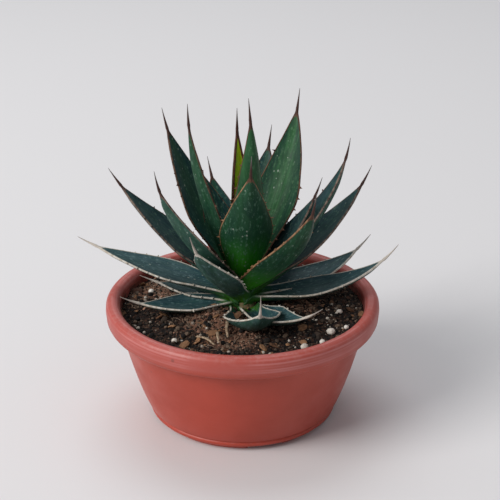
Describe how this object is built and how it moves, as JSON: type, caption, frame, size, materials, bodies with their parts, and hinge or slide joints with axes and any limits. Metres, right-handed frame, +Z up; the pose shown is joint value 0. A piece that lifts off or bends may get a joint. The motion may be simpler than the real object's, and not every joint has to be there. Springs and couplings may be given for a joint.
{
  "type": "potted agave",
  "caption": "Spiny-leaved agave rosette growing in a round moulded bowl with a rolled rim and drainage holes, standing on a flat foot.",
  "frame": {"origin": "middle of the bowl's underside, on the surface it stands on", "axes": "+Z up out of the bowl, -Y towards the front of the plant, +X to its right"},
  "size_m": [0.2343, 0.2, 0.243],
  "materials": {
    "bowl": "satin terracotta-red moulded plastic",
    "mix": "loose dark potting mix",
    "pumice": "rough white volcanic grit",
    "stem": "dry fibrous stem and roots",
    "young_leaf": "waxy bright green leaf",
    "leaf": "waxy blue-green leaf",
    "old_leaf": "waxy blue-grey leaf with a pale horny edge",
    "dry_fibre": "dry pale leaf remains"
  },
  "bodies": {
    "root": {"dry_strip_1": "dry_fibre", "dry_strip_2": "dry_fibre", "dry_strip_3": "dry_fibre", "leaf_01_inner": "young_leaf", "leaf_02_inner": "young_leaf", "leaf_03_upright_left": "young_leaf", "leaf_04_upright_right": "young_leaf", "leaf_05_front": "young_leaf", "leaf_06_back_left": "young_leaf", "leaf_07_back": "young_leaf", "leaf_08_left": "young_leaf", "leaf_09_right_front": "young_leaf", "leaf_10_back_left": "young_leaf", "leaf_11_right": "leaf", "leaf_12_right": "leaf", "leaf_13_back": "leaf", "leaf_14_left": "leaf", "leaf_15_right": "leaf", "leaf_16_front_left": "leaf", "leaf_17_back": "leaf", "leaf_18_back": "leaf", "leaf_19_low_left": "leaf", "leaf_20_low_right": "old_leaf", "leaf_21_low_right": "old_leaf", "leaf_22_low_back_left": "old_leaf", "leaf_23_low_back": "old_leaf", "leaf_24_low_left": "old_leaf", "leaf_25_low_back_right": "old_leaf", "leaf_26_low_left": "old_leaf", "leaf_27_low_front_right": "old_leaf", "leaf_28_low_front": "old_leaf", "leaf_bud": "young_leaf", "pot": "bowl", "potting_mix": "mix", "pumice_1": "pumice", "pumice_2": "pumice", "pumice_3": "pumice", "pumice_4": "pumice", "pumice_5": "pumice", "pumice_6": "pumice", "pumice_7": "pumice", "pumice_8": "pumice", "stem_and_roots": "stem"}
  },
  "joints": []
}
